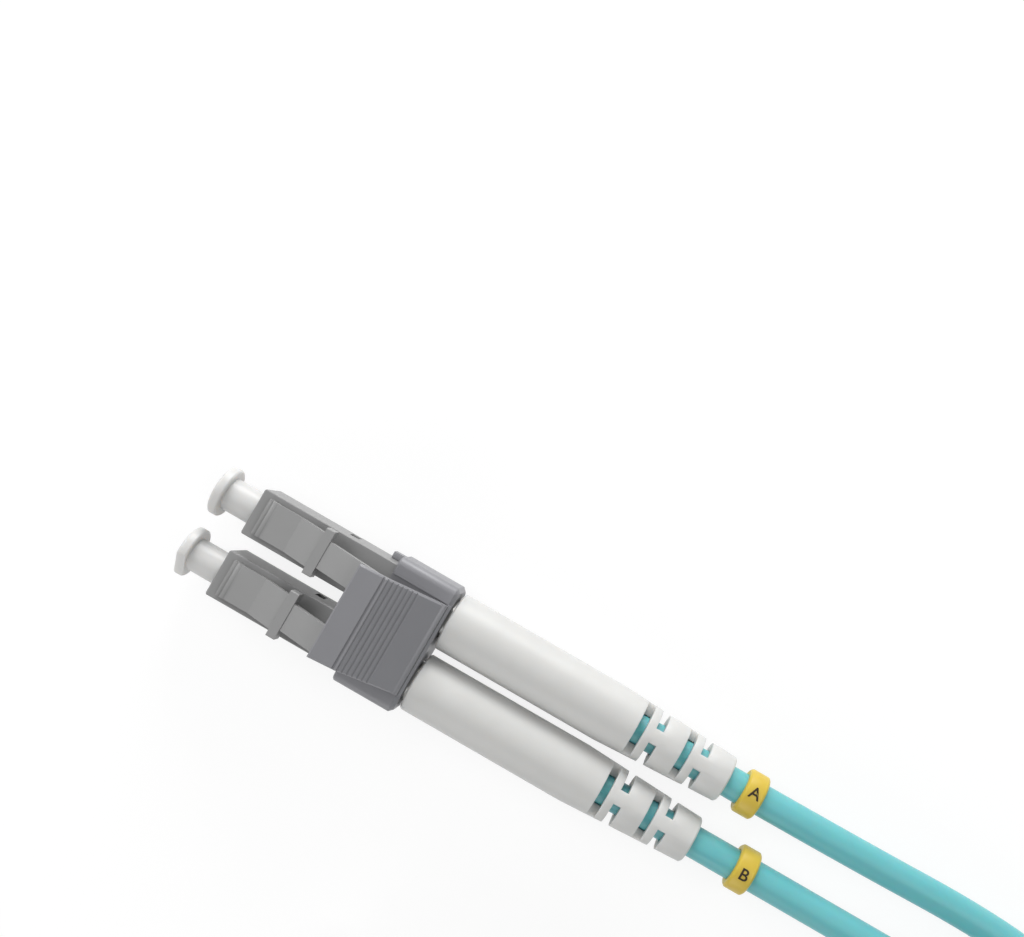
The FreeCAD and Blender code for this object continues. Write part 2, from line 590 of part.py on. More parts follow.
def coil_tie():
    """The strap round the coil's bundle of turns."""
    low, high = COIL_INNER - TIE_CLEARANCE, COIL_OUTER + TIE_CLEARANCE
    hole = Part.makeBox(high - low, TIE_WIDTH, COIL_HEIGHT + TIE_CLEARANCE,
                        Vector(low, -TIE_WIDTH / 2, COIL_LIFT))
    strap = Part.makeBox(high - low + 2 * COIL_LIFT, TIE_WIDTH,
                         COIL_HEIGHT + TIE_CLEARANCE + 2 * COIL_LIFT,
                         Vector(low - COIL_LIFT, -TIE_WIDTH / 2, 0))
    tie = solid(strap.cut(hole))
    tie.rotate(Vector(0, 0, 0), Vector(0, 0, 1), TIE_ANGLE)
    tie.translate(COIL_CENTRE)
    return tie


# ---------------------------------------------------------------- assembly

def connector():
    """Every piece of the first connector, by name."""
    pieces = {"duplex_clip": duplex_clip(), "trigger": trigger()}
    for channel, y in CHANNELS.items():
        pieces[f"dust_cap_{channel}"] = dust_cap(y, CAP_FLAT_ANGLES[channel])
        pieces[f"ferrule_{channel}"] = ferrule(y)
        pieces[f"ferrule_flange_{channel}"] = ferrule_flange(y)
        pieces[f"ferrule_spring_{channel}"] = ferrule_spring(y)
        pieces[f"plug_housing_{channel}"] = plug_housing(y)
        pieces[f"latch_arm_{channel}"] = latch_arm(y)
        pieces[f"rear_body_{channel}"] = rear_body(y)
        pieces[f"aramid_yarn_{channel}"] = aramid_yarn(y)
        pieces[f"crimp_sleeve_{channel}"] = crimp_sleeve(y)
        pieces[f"cable_end_{channel}"] = cable_end(y)
        pieces[f"boot_{channel}"] = boot(y)
        pieces[f"marker_ring_{channel}"] = marker_ring(y, RING_DEPTHS[channel])
    return pieces


def closed_plug(y):
    """A plug as one closed piece: housing, ferrule, crimp and cable end, with only the recess open."""
    filling = rod(REAR_COLLAR_DIAMETER, RECESS_DEPTH, STEM_START, y)
    crimp = rod(CRIMP_DIAMETER, STEM_START, CRIMP_END, y)
    return solid(plug_housing(y).fuse([filling, ferrule(y), crimp,
                                       rod(CABLE_DIAMETER, CRIMP_END, BOOT_END, y)]))


def far_connector():
    """The connector at the cord's other end, closed inside and plainer outside, by name."""
    pieces = {"far_clip": duplex_clip(), "far_trigger": trigger(grooved=False)}
    for channel, y in CHANNELS.items():
        pieces[f"far_dust_cap_{channel}"] = dust_cap(y, CAP_FLAT_ANGLES[channel])
        pieces[f"far_plug_{channel}"] = closed_plug(y)
        pieces[f"far_latch_arm_{channel}"] = latch_arm(y)
        pieces[f"far_boot_{channel}"] = boot(y, slotted=False)
        pieces[f"far_marker_ring_{channel}"] = marker_ring(y, FAR_RING_DEPTH)
    return {name: piece.translated(FAR_END_SHIFT) for name, piece in pieces.items()}


def patch_cord():
    """Both connectors, the free cables, the coil and its tie, by name."""
    nodes = {**connector(), **far_connector(), "cable_coil": cable_coil(), "coil_tie": coil_tie()}
    for channel in CHANNELS:
        nodes[f"cable_{channel}"] = cable_run(channel, NEAR_RUN_END, NEAR_RUNS[channel],
                                              Vector(0, 0, 0))
        nodes[f"far_cable_{channel}"] = cable_run(channel, FAR_RUN_END, FAR_RUNS[channel],
                                                  FAR_END_SHIFT)
    return nodes


os.makedirs("parts", exist_ok=True)
for node, piece in patch_cord().items():
    piece.exportStep(f"parts/{node}.step")
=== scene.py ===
import json
import math

import bmesh
import bpy
from mathutils import Matrix, Vector, geometry


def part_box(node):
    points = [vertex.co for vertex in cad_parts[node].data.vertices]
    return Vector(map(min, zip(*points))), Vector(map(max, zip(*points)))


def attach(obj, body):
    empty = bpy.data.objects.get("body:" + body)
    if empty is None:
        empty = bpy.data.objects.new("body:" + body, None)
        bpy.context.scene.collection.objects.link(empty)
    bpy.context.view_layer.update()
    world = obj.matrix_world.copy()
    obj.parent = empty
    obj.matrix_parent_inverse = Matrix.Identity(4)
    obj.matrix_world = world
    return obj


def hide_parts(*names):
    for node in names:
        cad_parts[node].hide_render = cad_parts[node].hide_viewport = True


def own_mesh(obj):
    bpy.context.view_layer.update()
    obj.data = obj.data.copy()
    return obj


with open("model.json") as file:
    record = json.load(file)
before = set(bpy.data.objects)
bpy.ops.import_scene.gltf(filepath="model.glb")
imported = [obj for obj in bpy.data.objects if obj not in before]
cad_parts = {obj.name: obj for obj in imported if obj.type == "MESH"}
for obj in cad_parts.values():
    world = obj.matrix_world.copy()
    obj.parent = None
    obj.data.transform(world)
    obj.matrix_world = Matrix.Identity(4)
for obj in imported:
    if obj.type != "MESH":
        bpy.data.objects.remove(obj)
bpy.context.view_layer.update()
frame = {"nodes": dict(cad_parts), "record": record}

# ---------------------------------------------------------------- sizes and places

MM = 0.001
CABLE_DIAMETER = 2.9 * MM
AXIS_Y = {"a": -3.125 * MM, "b": 3.125 * MM}
AXIS_Z = 3.45 * MM
FRONT_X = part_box("plug_housing_a")[1].x
FAR_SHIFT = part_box("far_clip")[0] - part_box("duplex_clip")[0]
COIL_LOW, COIL_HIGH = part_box("cable_coil")
COIL_CENTRE = (COIL_LOW + COIL_HIGH) / 2
COIL_OUTER = (COIL_HIGH.x - COIL_LOW.x) / 2

# Each free cable as (distance behind the housing's front, y, height) in millimetres, from the
# boot's mouth to the coil.
NEAR_ROUTES = {
    "a": ((48.5, -3.125, 3.45), (60.0, -3.125, 3.45), (77.0, -3.4, 2.3), (87.0, -1.7, 1.75),
          (96.0, 0.0, 1.76)),
    "b": ((48.5, 3.125, 3.45), (60.0, 3.125, 3.45), (77.0, 3.1, 3.7), (87.0, 1.6, 4.55),
          (96.0, 0.0, 4.75)),
}
FAR_ROUTES = {
    "a": ((48.5, -3.125, 3.45), (55.0, -3.125, 3.45), (59.8, -2.0, 4.5), (65.2, 0.0, 4.75)),
    "b": ((48.5, 3.125, 3.45), (55.0, 3.125, 3.45), (59.8, 2.0, 2.2), (65.2, 0.0, 1.76)),
}
FAR_PARTS = ("far_plug", "far_latch_arm", "far_boot", "far_dust_cap", "far_marker_ring")
CORD_RING_RESOLUTION = 8            # of the curve's bevel
CORD_STEPS = 10                     # between two points of the curve

# The cable's way through the coil, as (turns so far, column from the inside, layer from below).
# Each cable has every second layer.
COIL_COURSE = ((0.0, 1, 0), (0.8, 1, 0), (1.0, 0, 0), (1.5, 0, 0), (1.9, 0, 2), (2.3, 0, 2),
               (2.5, 1, 2), (3.3, 1, 2), (3.5, 2, 2), (3.7, 2, 2), (4.2, 2, 0), (4.5, 2, 0))
COIL_COLUMNS = 3
COIL_POINTS_A_TURN = 16
COIL_START_ANGLE = -math.pi / 2

TIE_ANGLE = math.radians(220)       # round the coil
TIE_WIDTH = 5.0 * MM
TIE_THICKNESS = 0.28 * MM
STRAP_POINTS = 24                   # round each cable

LETTER_HEIGHT = 1.08 * MM
FONT_CAPITAL_HEIGHT = 0.69          # of the font's size
LETTER_OFFSETS = {"a": -0.55 * MM, "b": -0.05 * MM}  # of a letter's middle from the ring's top
LETTER_THICKNESS = 0.02 * MM
LETTER_BOLDNESS = 0.02 * MM
LETTER_CURVE_STEPS = 6
LETTER_LONG_EDGE = 0.15 * MM        # longer edges are divided, to bend round the ring
LETTER_EDGE_CUTS = 3

FERRULE_RADIUS = 0.625 * MM
FAR_FERRULE_SKIN = 0.01 * MM        # within the 0.03 mm that the far cap clears it by

BOOT_TURN = math.radians(11.5)      # of the boots on their cables, tops towards -Y
BOOT_SLOT_WIDTH = 0.78 * MM
SIDE_SLOTS = (41.25 * MM, 45.8 * MM)     # behind the housing's front
SIDE_SLOT_SHIFT = 0.24 * MM
SLOT_WALL_TOLERANCE = 0.02 * MM

# The plug housing's side windows, by distance behind its front and height over its axis.
HOUSING_HALF = 2.25 * MM
WINDOW_DEPTHS = (8.1 * MM, 9.0 * MM)
WINDOW_HEIGHTS = (-1.5 * MM, 0.15 * MM)
WINDOW_CUT = 0.85 * MM              # through the wall, into the spring's chamber
WINDOW_OVERCUT = 1.0 * MM           # outside the wall
NOTCH_DEPTHS = (7.85 * MM, 8.82 * MM)    # the plain notch that a window takes the place of
NOTCH_HEIGHTS = (-2.23 * MM, -1.45 * MM)
NOTCH_REACH = (1.85 * MM, 2.23 * MM)

WELD_DISTANCE = 1e-7
FLAT_ANGLE = math.radians(0.5)      # faces that differ by less are one flat face
EDGE_SEGMENTS = 2
LARGE_FACES_LEAD = 100              # weight by which large faces set the normals at their edges

# The room: the camera looks almost straight down, and every lamp looks at one point.
CAMERA_PLACE = (-0.01430, -0.01781, 0.11804)
CAMERA_DEGREES = (0.956, 0.122, 209.915)
CAMERA_LENS = 44.58                 # in millimetres, as is the sensor's width
CAMERA_SENSOR = 36.0
CAMERA_SHIFT = (-0.12, 0.05)
CAMERA_CLIP = (0.005, 10.0)
LAMP_TARGET = (-0.01, 0, 0)
LAMPS = (                           # name, place, width, watts
    ("side", (0.10, -0.475, 0.12), 0.20, 1.85),
    ("front", (0.33, -0.12, 0.32), 0.25, 0.70),
    ("back", (-0.27, -0.06, 0.40), 0.25, 0.38),
    ("fill", (-0.02, 0.45, 0.22), 0.30, 0.6),
)
WORLD_LIGHT = 0.36                  # of the world as a light; the camera sees it at 1
FLOOR_HALF = 3.0
FLOOR_GREY = 0.85
FLOOR_GLOW = 1.06
FLOOR_GLOW_SHARE = 0.8              # of the floor as the camera and reflections see it
WHITE = (1, 1, 1, 1)


# ---------------------------------------------------------------- materials

COLOUR_DRIFT = 3 * MM               # width of the patches in moulded plastic
JACKET_DRIFT = 6 * MM
JACKET_STREAK = 0.3 * MM
METAL_MARK = 0.1 * MM
PLASTIC_POLISH_SPREAD = 0.06        # each way from a material's roughness
METAL_POLISH_SPREAD = 0.08
JACKET_POLISH = (0.34, 0.46)
JACKET_SUBSURFACE = 0.4
JACKET_STRETCH = (0.03, 1, 1)       # of the noise along X, as are the next two
METAL_STRETCH = (4, 1, 1)
FIBRE_STRETCH = (0.05, 1, 1)
FIBRE_ROUGHNESS = 0.8
FIBRE_SHEEN = 0.3
FINE_DETAIL = 2.0                   # of grain and streaks
FIBRE_DETAIL = 4.0
GRAIN_RELIEF = 0.004 * MM
METAL_RELIEF = 0.002 * MM
FIBRE_RELIEF = 0.05 * MM
LIGHT_DEPTH = 1.2 * MM              # that light goes into moulded plastic
JACKET_LIGHT_DEPTH = 0.8 * MM
LIGHT_DEPTH_BY_COLOUR = (1.0, 0.9, 0.8)


def srgb(red, green, blue):
    """A colour as Blender wants it, from the 0 to 255 values it is seen as."""
    def linear(value):
        value /= 255
        return value / 12.92 if value <= 0.04045 else ((value + 0.055) / 1.055) ** 2.4
    return linear(red), linear(green), linear(blue), 1.0


def shader_of(name):
    """A new material, with its node tree and its Principled shader."""
    material = bpy.data.materials.new(name)
    material.use_nodes = True
    tree = material.node_tree
    return material, tree, tree.nodes["Principled BSDF"]


def noise(tree, width, detail=3.0, stretch=(1, 1, 1)):
    """A noise texture in the object's own coordinates, with features about that wide."""
    place = tree.nodes.new("ShaderNodeTexCoord")
    mapping = tree.nodes.new("ShaderNodeMapping")
    mapping.inputs["Scale"].default_value = stretch
    texture = tree.nodes.new("ShaderNodeTexNoise")
    texture.inputs["Scale"].default_value = 1 / width
    texture.inputs["Detail"].default_value = detail
    tree.links.new(place.outputs["Object"], mapping.inputs["Vector"])
    tree.links.new(mapping.outputs["Vector"], texture.inputs["Vector"])
    return texture.outputs["Fac"]


def ramp(tree, value, low, high):
    """A value from 0 to 1 spread over a range."""
    spread = tree.nodes.new("ShaderNodeMapRange")
    spread.inputs["To Min"].default_value = low
    spread.inputs["To Max"].default_value = high
    tree.links.new(value, spread.inputs["Value"])
    return spread.outputs["Result"]


def mottled(tree, value, dark, light):
    """A colour that drifts between two, by a noise value."""
    mix = tree.nodes.new("ShaderNodeMix")
    mix.data_type = "RGBA"
    mix.inputs["A"].default_value = dark
    mix.inputs["B"].default_value = light
    tree.links.new(value, mix.inputs["Factor"])
    return mix.outputs["Result"]


def bumped(tree, heights, distance):
    """A surface normal roughened by height values."""
    bump = tree.nodes.new("ShaderNodeBump")
    bump.inputs["Strength"].default_value = 1.0
    bump.inputs["Distance"].default_value = distance
    tree.links.new(heights, bump.inputs["Height"])
    return bump.outputs["Normal"]


def plastic(name, dark, light, roughness, grain=0.25 * MM, relief=GRAIN_RELIEF, subsurface=0.0):
    """Moulded plastic: a drifting colour, an uneven polish and a fine spark-eroded grain."""
    material, tree, shader = shader_of(name)
    drift = noise(tree, COLOUR_DRIFT)
    speckle = noise(tree, grain, detail=FINE_DETAIL)
    tree.links.new(mottled(tree, drift, dark, light), shader.inputs["Base Color"])
    polish = ramp(tree, speckle, roughness - PLASTIC_POLISH_SPREAD,
                  roughness + PLASTIC_POLISH_SPREAD)
    tree.links.new(polish, shader.inputs["Roughness"])
    tree.links.new(bumped(tree, speckle, relief), shader.inputs["Normal"])
    shader.inputs["Subsurface Weight"].default_value = subsurface
    shader.inputs["Subsurface Scale"].default_value = LIGHT_DEPTH
    shader.inputs["Subsurface Radius"].default_value = LIGHT_DEPTH_BY_COLOUR
    return material


def jacket_plastic():
    """The cable's jacket: extruded, so its marks run along the cable."""
    material, tree, shader = shader_of("cable_jacket")
    drift = noise(tree, JACKET_DRIFT)
    streaks = noise(tree, JACKET_STREAK, detail=FINE_DETAIL, stretch=JACKET_STRETCH)
    tree.links.new(mottled(tree, drift, srgb(99, 180, 185), srgb(109, 190, 195)),
                   shader.inputs["Base Color"])
    tree.links.new(ramp(tree, streaks, *JACKET_POLISH), shader.inputs["Roughness"])
    tree.links.new(bumped(tree, streaks, GRAIN_RELIEF), shader.inputs["Normal"])
    shader.inputs["Subsurface Weight"].default_value = JACKET_SUBSURFACE
    shader.inputs["Subsurface Scale"].default_value = JACKET_LIGHT_DEPTH
    return material


def metal(name, colour, roughness):
    """Drawn or turned metal, with fine marks."""
    material, tree, shader = shader_of(name)
    marks = noise(tree, METAL_MARK, stretch=METAL_STRETCH)
    shader.inputs["Base Color"].default_value = colour
    shader.inputs["Metallic"].default_value = 1.0
    polish = ramp(tree, marks, roughness - METAL_POLISH_SPREAD, roughness + METAL_POLISH_SPREAD)
    tree.links.new(polish, shader.inputs["Roughness"])
    tree.links.new(bumped(tree, marks, METAL_RELIEF), shader.inputs["Normal"])
    return material


def fibres(name, dark, light, pitch):
    """Yarn or strap: threads that run along X, with their own light and dark."""
    material, tree, shader = shader_of(name)
    threads = noise(tree, pitch, detail=FIBRE_DETAIL, stretch=FIBRE_STRETCH)
    tree.links.new(mottled(tree, threads, dark, light), shader.inputs["Base Color"])
    tree.links.new(bumped(tree, threads, FIBRE_RELIEF), shader.inputs["Normal"])
    shader.inputs["Roughness"].default_value = FIBRE_ROUGHNESS
    shader.inputs["Sheen Weight"].default_value = FIBRE_SHEEN
    return material


MATERIALS = {
    "clip": plastic("clip_plastic", srgb(134, 134, 138), srgb(140, 140, 144), 0.42),
    "housing": plastic("housing_plastic", srgb(138, 138, 138), srgb(144, 144, 144), 0.40),
    "white_cap": plastic("cap_plastic", srgb(206, 206, 205), srgb(211, 211, 210), 0.42,
                         subsurface=0.6),
    "boot": plastic("boot_plastic", srgb(204, 204, 202), srgb(210, 210, 208), 0.48,
                    subsurface=0.6),
    "ceramic": plastic("ferrule_ceramic", srgb(236, 234, 228), srgb(242, 240, 236), 0.15,
                       relief=0.0005 * MM, subsurface=0.1),
    "ring": plastic("ring_plastic", srgb(206, 178, 62), srgb(216, 189, 75), 0.40, subsurface=0.4),
    "metal": metal("plain_metal", srgb(176, 176, 174), 0.36),
    "yarn": fibres("aramid_yarn", srgb(205, 170, 60), srgb(236, 208, 110), 0.12 * MM),
    "jacket": jacket_plastic(),
    "tie": fibres("tie_strap", srgb(30, 30, 32), srgb(58, 58, 60), 0.2 * MM),
}
# The housing's plastic, painted lighter for the latch arms: painted light for the light on their
# sloped tops.
PAINTED_LIGHT_ARM_PLASTIC = plastic("arm_plastic", srgb(145, 145, 145), srgb(151, 151, 151), 0.40)
INK = plastic("letter_ink", srgb(44, 33, 14), srgb(52, 40, 20), 0.7)
SLOT_OF = {part["node"]: part["material_slot"] for part in frame["record"]["subparts"]}


def paint(piece, material):
    """Gives a piece one material."""
    piece.data.materials.clear()
    piece.data.materials.append(material)


# ---------------------------------------------------------------- objects

def in_scene(name, data):
    """A new object, linked to the scene."""
    thing = bpy.data.objects.new(name, data)
    bpy.context.scene.collection.objects.link(thing)
    return thing


def mesh_data(name, mesh):
    """A finished bmesh as new mesh data."""
    data = bpy.data.meshes.new(name)
    mesh.to_mesh(data)
    mesh.free()
    return data


def channel_axis(channel):
    """A point on a channel's axis."""
    return Vector((0, AXIS_Y[channel], AXIS_Z))


# ---------------------------------------------------------------- moulded pieces

EDGE_RADII = {              # of the moulded edges, by the node's name without its channel
    "duplex_clip": 0.12 * MM, "far_clip": 0.12 * MM, "trigger": 0.08 * MM, "far_trigger": 0.08 * MM,
    "plug_housing": 0.07 * MM, "latch_arm": 0.07 * MM, "far_latch_arm": 0.07 * MM,
    "far_plug": 0.07 * MM, "dust_cap": 0.08 * MM, "far_dust_cap": 0.08 * MM,
    "boot": 0.06 * MM, "far_boot": 0.06 * MM, "marker_ring": 0.08 * MM,
    "far_marker_ring": 0.08 * MM,
}
ROUND_PIECES = ("dust_cap", "boot", "marker_ring")
FLAT_CREASE = math.radians(6)      # of pieces with flat faces, where even a slight bend is an edge
ROUND_CREASE = math.radians(28)


def weld(piece):
    """Joins the corners that a CAD mesh has once for each of its faces."""
    skin = piece.modifiers.new("one_skin", "WELD")
    skin.merge_threshold = WELD_DISTANCE


def rounded_edges(piece, name, radius):
    """A modifier that rounds a piece's sharp edges."""
    edges = piece.modifiers.new(name, "BEVEL")
    edges.width = radius
    edges.segments = EDGE_SEGMENTS
    edges.limit_method = "ANGLE"
    return edges


def moulded(piece, radius, crease):
    """Rounds the edges of a piece that are sharper than a crease angle, as a mould does."""
    weld(piece)
    flats = piece.modifiers.new("flats", "DECIMATE")
    flats.decimate_type = "DISSOLVE"
    flats.angle_limit = FLAT_ANGLE
    edges = rounded_edges(piece, "moulded_edges", radius)
    edges.angle_limit = crease
    edges.miter_outer = "MITER_ARC"
    flat_shading = piece.modifiers.new("flat_shading", "WEIGHTED_NORMAL")
    flat_shading.weight = LARGE_FACES_LEAD
    piece.data.shade_smooth()


def block(name, low, high):
    """A box from one corner to the other."""
    mesh = bmesh.new()
    bmesh.ops.create_cube(mesh, size=1.0)
    for vertex in mesh.verts:
        vertex.co = Vector(low[i] + (vertex.co[i] + 0.5) * (high[i] - low[i]) for i in range(3))
    return in_scene(name, mesh_data(name, mesh))


def side_block(channel, side, depths, reach, heights):
    """A box on one side of a plug housing's axis."""
    inner, outer = sorted(side * distance for distance in reach)
    return block("cutter",
                 (FRONT_X - depths[1], AXIS_Y[channel] + inner, AXIS_Z + heights[0]),
                 (FRONT_X - depths[0], AXIS_Y[channel] + outer, AXIS_Z + heights[1]))


def stand_in(name, node, data):
    """A piece with its own mesh in the place of a fixed CAD node."""
    piece = in_scene(name, data)
    piece.matrix_world = frame["nodes"][node].matrix_world
    paint(piece, MATERIALS[SLOT_OF[node]])
    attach(piece, "root")
    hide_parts(node)
    return piece


def far_ferrule(channel):
    """White ceramic over the far ferrule, which is one solid with its grey plug."""
    axis = channel_axis(channel)
    growth = 1 + FAR_FERRULE_SKIN / FERRULE_RADIUS
    data = frame["nodes"][f"ferrule_{channel}"].data.copy()
    data.transform(Matrix.Translation(axis + FAR_SHIFT + Vector((FAR_FERRULE_SKIN, 0, 0)))
                   @ Matrix.Diagonal((1, growth, growth, 1)) @ Matrix.Translation(-axis))
    piece = in_scene(f"far_ferrule_{channel}", data)
    paint(piece, MATERIALS["ceramic"])
    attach(piece, "root")
    return piece


def windowed_housing(channel):
    """The plug housing, with a window through each side wall in place of a notch."""
    cad = frame["nodes"][f"plug_housing_{channel}"]
    shape = in_scene("housing_shape", cad.data.copy())
    shape.matrix_world = cad.matrix_world
    tools = []
    for side in (-1, 1):
        filling = side_block(channel, side, NOTCH_DEPTHS, NOTCH_REACH, NOTCH_HEIGHTS)
        window = side_block(channel, side, WINDOW_DEPTHS,
                            (HOUSING_HALF - WINDOW_CUT, HOUSING_HALF + WINDOW_OVERCUT),
                            WINDOW_HEIGHTS)
        tools += [(filling, "UNION"), (window, "DIFFERENCE")]
    weld(shape)
    for tool, operation in tools:
        cut = shape.modifiers.new("cut", "BOOLEAN")
        cut.object = tool
        cut.operation = operation
        cut.solver = "EXACT"
    bpy.context.view_layer.update()
    data = bpy.data.meshes.new_from_object(shape.evaluated_get(
        bpy.context.evaluated_depsgraph_get()))
    for leftover in [shape] + [tool for tool, operation in tools]:
        bpy.data.objects.remove(leftover)
    piece = stand_in(f"windowed_housing_{channel}", cad.name, data)
    moulded(piece, EDGE_RADII["plug_housing"], FLAT_CREASE)


def turned_boot(channel):
    """The boot, turned a little on its cable, with its side slots further forward."""
    cad = frame["nodes"][f"boot_{channel}"]
    mesh = bmesh.new()
    mesh.from_mesh(cad.data)
    mesh.transform(cad.matrix_world)
    for vertex in mesh.verts:
        depth = FRONT_X - vertex.co.x
        if any(abs(abs(depth - slot) - BOOT_SLOT_WIDTH / 2) < SLOT_WALL_TOLERANCE
               for slot in SIDE_SLOTS):
            vertex.co.x += SIDE_SLOT_SHIFT
    bmesh.ops.rotate(mesh, verts=mesh.verts, cent=channel_axis(channel),
                     matrix=Matrix.Rotation(BOOT_TURN, 3, "X"))
    mesh.transform(cad.matrix_world.inverted())
    name = f"turned_boot_{channel}"
    piece = stand_in(name, cad.name, mesh_data(name, mesh))
    moulded(piece, EDGE_RADII["boot"], ROUND_CREASE)


def spring_coil(channel):
    """The spring as its own mesh in place of its CAD node; it keeps its length, though the real one
    shortens as its ferrule is pushed in.
    """
    node = f"ferrule_spring_{channel}"
    piece = stand_in(f"spring_coil_{channel}", node, frame["nodes"][node].data.copy())
    piece.data.shade_smooth()
    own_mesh(piece)


def mould_pieces():
    """Rounds the edges of every moulded piece that shows as its CAD node."""
    for node, piece in frame["nodes"].items():
        kind = node[:-2] if node[-2:] in ("_a", "_b") else node
        if kind in EDGE_RADII and not piece.hide_render:
            crease = ROUND_CREASE if kind.endswith(ROUND_PIECES) else FLAT_CREASE
            moulded(piece, EDGE_RADII[kind], crease)


def paint_carried_nodes():
    """Gives each node the material of its slot, with the latch arms painted a little lighter:
    painted light for the light on their sloped tops.
    """
    for node, piece in frame["nodes"].items():
        paint(piece, MATERIALS[SLOT_OF[node]])
    for channel in AXIS_Y:
        # painted light: the arms' lighter grey stands for the light their sloped tops catch
        paint(frame["nodes"][f"latch_arm_{channel}"], PAINTED_LIGHT_ARM_PLASTIC)


# ---------------------------------------------------------------- letters on the rings

def channel_letter(channel):
    """A printed channel letter, bent round its ring, with its top towards -Y."""
    low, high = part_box(f"marker_ring_{channel}")
    radius = (high.y - low.y) / 2
    text = bpy.data.curves.new(f"letter_curve_{channel}", "FONT")
    text.body = channel.upper()
    text.size = LETTER_HEIGHT / FONT_CAPITAL_HEIGHT
    text.align_x = "CENTER"
    text.offset = LETTER_BOLDNESS
    text.resolution_u = LETTER_CURVE_STEPS
    shape = in_scene(f"letter_shape_{channel}", text)
    bpy.context.view_layer.update()
    data = bpy.data.meshes.new_from_object(shape)
    bpy.data.objects.remove(shape)
    mesh = bmesh.new()
    mesh.from_mesh(data)
    bmesh.ops.triangulate(mesh, faces=mesh.faces)
    long_edges = [edge for edge in mesh.edges if edge.calc_length() > LETTER_LONG_EDGE]
    bmesh.ops.subdivide_edges(mesh, edges=long_edges, cuts=LETTER_EDGE_CUTS, use_grid_fill=False)
    middle_x = (low.x + high.x) / 2
    for vertex in mesh.verts:
        across, up = vertex.co.x, vertex.co.y - LETTER_HEIGHT / 2
        turn = (LETTER_OFFSETS[channel] - up) / radius
        vertex.co = Vector((middle_x - across, AXIS_Y[channel] + radius * math.sin(turn),
                            AXIS_Z + (radius + LETTER_THICKNESS) * math.cos(turn)))
    mesh.to_mesh(data)
    mesh.free()
    letter = in_scene(f"channel_letter_{channel}", data)
    data.materials.append(INK)
    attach(letter, "root")
    return letter


# ---------------------------------------------------------------- cables

def route_points(route, shift):
    """A route's points in the frame."""
    return [Vector((FRONT_X - depth * MM, y * MM, height * MM)) + shift
            for depth, y, height in route]


def coil_place(turns, upper):
    """(radius, height) of a cable's middle after some turns of the coil."""
    for (t0, column0, layer0), (t1, column1, layer1) in zip(COIL_COURSE, COIL_COURSE[1:]):
        if t0 <= turns <= t1:
            share = (turns - t0) / (t1 - t0)
            column = column0 + share * (column1 - column0)
            layer = layer0 + share * (layer1 - layer0)
    radius = COIL_OUTER - (COIL_COLUMNS - 0.5 - column) * CABLE_DIAMETER
    level = layer + (1.5 if upper else 0.5)     # of the cable's middle
    return radius, COIL_LOW.z + level * CABLE_DIAMETER


def coil_points(upper):
    """The cable's points round the coil, clockwise from above, with one cable on the other.

    They lie a little outside the circle, because the curve only touches the lines between them.
    """
    points = []
    count = round(COIL_COURSE[-1][0] * COIL_POINTS_A_TURN)
    for i in range(1, count):
        turns = i / COIL_POINTS_A_TURN
        radius, height = coil_place(turns, upper)
        radius /= math.cos(math.pi / COIL_POINTS_A_TURN)
        angle = COIL_START_ANGLE - 2 * math.pi * turns
        points.append(Vector((COIL_CENTRE.x + radius * math.cos(angle),
                              COIL_CENTRE.y + radius * math.sin(angle), height)))
    return points


def strap():
    """The tie: a strap drawn tight round all the turns where it stands."""
    turns = ((COIL_START_ANGLE - TIE_ANGLE) / (2 * math.pi)) % 1
    outline = []
    while turns < COIL_COURSE[-1][0]:
        for upper in (False, True):
            radius, height = coil_place(turns, upper)
            for i in range(STRAP_POINTS):
                angle = 2 * math.pi * i / STRAP_POINTS
                outline.append(Vector((radius + CABLE_DIAMETER / 2 * math.cos(angle),
                                       height + CABLE_DIAMETER / 2 * math.sin(angle))))
        turns += 1
    hull = [outline[i] for i in geometry.convex_hull_2d(outline)]
    outward = Vector((math.cos(TIE_ANGLE), math.sin(TIE_ANGLE), 0))
    along = Vector((-outward.y, outward.x, 0))
    mesh = bmesh.new()
    rims = []
    for side in (-1, 1):
        rims.append([mesh.verts.new(COIL_CENTRE.xy.to_3d() + point.x * outward
                                    + side * TIE_WIDTH / 2 * along + Vector((0, 0, point.y)))
                     for point in hull])
    for i in range(len(hull)):
        mesh.faces.new((rims[0][i - 1], rims[0][i], rims[1][i], rims[1][i - 1]))
    bmesh.ops.recalc_face_normals(mesh, faces=mesh.faces)
    data = mesh_data("strap", mesh)
    data.materials.append(MATERIALS["tie"])
    piece = in_scene("strap", data)
    skin = piece.modifiers.new("thickness", "SOLIDIFY")
    skin.thickness = TIE_THICKNESS
    skin.offset = 1
    rounded_edges(piece, "soft_edges", TIE_THICKNESS / 4)
    data.shade_smooth()
    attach(piece, "root")
    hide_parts("coil_tie")
    return piece


def cord(name, near, far, upper, replaced, on_it):
    """One cable of the pair, from its boot through the coil to the far connector."""
    points = route_points(NEAR_ROUTES[near], Vector((0, 0, 0)))
    points += coil_points(upper)
    points += reversed(route_points(FAR_ROUTES[far], FAR_SHIFT))
    curve = bpy.data.curves.new(name, "CURVE")
    curve.dimensions = "3D"
    curve.bevel_depth = CABLE_DIAMETER / 2
    curve.bevel_resolution = CORD_RING_RESOLUTION
    curve.resolution_u = CORD_STEPS
    curve.use_fill_caps = True
    spline = curve.splines.new("NURBS")
    spline.points.add(len(points) - 1)
    for place, point in zip(spline.points, points):
        place.co = (*point, 1)
    spline.order_u = 3
    spline.use_endpoint_u = True
    curve.materials.append(MATERIALS["jacket"])
    piece = in_scene(name, curve)
    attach(piece, "root")
    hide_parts(*replaced)
    return piece


# ---------------------------------------------------------------- room, light and camera

